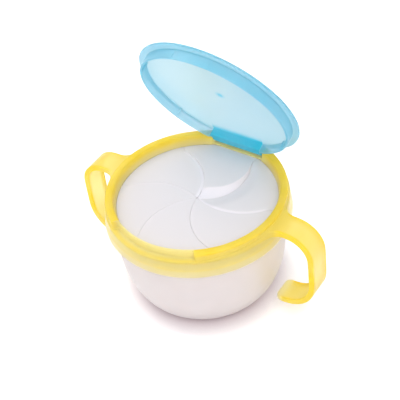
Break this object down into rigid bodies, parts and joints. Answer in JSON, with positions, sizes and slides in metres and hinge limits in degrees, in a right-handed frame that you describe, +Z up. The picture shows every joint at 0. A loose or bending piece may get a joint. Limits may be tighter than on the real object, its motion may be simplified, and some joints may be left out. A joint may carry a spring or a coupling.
{
  "type": "toddler snack container",
  "caption": "Rounded snack bowl with a push-fit collar, hook handles, soft swirled flaps over the mouth and a hinged lid.",
  "frame": {"origin": "centre of the bowl's base, on the surface it stands on", "axes": "+Z up, +Y towards the lid's hinge, -Y towards the finger recess, +X and -X towards the handles"},
  "size_m": [0.145, 0.1008, 0.1481],
  "materials": {
    "bowl": "satin translucent white polypropylene",
    "collar": "translucent yellow polypropylene",
    "flaps": "soft white thermoplastic elastomer",
    "lid": "translucent blue polypropylene"
  },
  "bodies": {
    "bowl": {"bowl": "bowl"},
    "collar": {"collar": "collar", "diaphragm": "flaps"},
    "lid": {"lid": "lid"},
    "flap_1": {"flap_1": "flaps"},
    "flap_2": {"flap_2": "flaps"},
    "flap_3": {"flap_3": "flaps"},
    "flap_4": {"flap_4": "flaps"},
    "flap_5": {"flap_5": "flaps"},
    "flap_6": {"flap_6": "flaps"}
  },
  "joints": [
    {"name": "collar_lift", "type": "slide", "parent": "bowl", "child": "collar", "axis": [0, 0, 1], "range_m": [0, 0.09]},
    {"name": "lid_hinge", "type": "hinge", "parent": "collar", "child": "lid", "pos_m": [0, 0.0436, 0.0639], "axis": [-1, 0, 0], "range_deg": [-67.6, 42.4]},
    {"name": "flap_1_root", "type": "hinge", "parent": "collar", "child": "flap_1", "pos_m": [0.02515, 0.02345, 0.0586], "axis": [0.682, -0.7314, 0], "range_deg": [-8, 60], "stiffness_Nm_per_rad": 0.01},
    {"name": "flap_2_root", "type": "hinge", "parent": "collar", "child": "flap_2", "pos_m": [-0.00773, 0.0335, 0.0586], "axis": [0.9744, 0.225, 0], "range_deg": [-8, 60], "stiffness_Nm_per_rad": 0.01},
    {"name": "flap_3_root", "type": "hinge", "parent": "collar", "child": "flap_3", "pos_m": [-0.03288, 0.01005, 0.0586], "axis": [0.2924, 0.9563, 0], "range_deg": [-8, 60], "stiffness_Nm_per_rad": 0.01},
    {"name": "flap_4_root", "type": "hinge", "parent": "collar", "child": "flap_4", "pos_m": [-0.02515, -0.02345, 0.0586], "axis": [-0.682, 0.7314, 0], "range_deg": [-8, 60], "stiffness_Nm_per_rad": 0.01},
    {"name": "flap_5_root", "type": "hinge", "parent": "collar", "child": "flap_5", "pos_m": [0.00773, -0.0335, 0.0586], "axis": [-0.9744, -0.225, 0], "range_deg": [-8, 60], "stiffness_Nm_per_rad": 0.01},
    {"name": "flap_6_root", "type": "hinge", "parent": "collar", "child": "flap_6", "pos_m": [0.03288, -0.01005, 0.0586], "axis": [-0.2924, -0.9563, 0], "range_deg": [-8, 60], "stiffness_Nm_per_rad": 0.01}
  ]
}
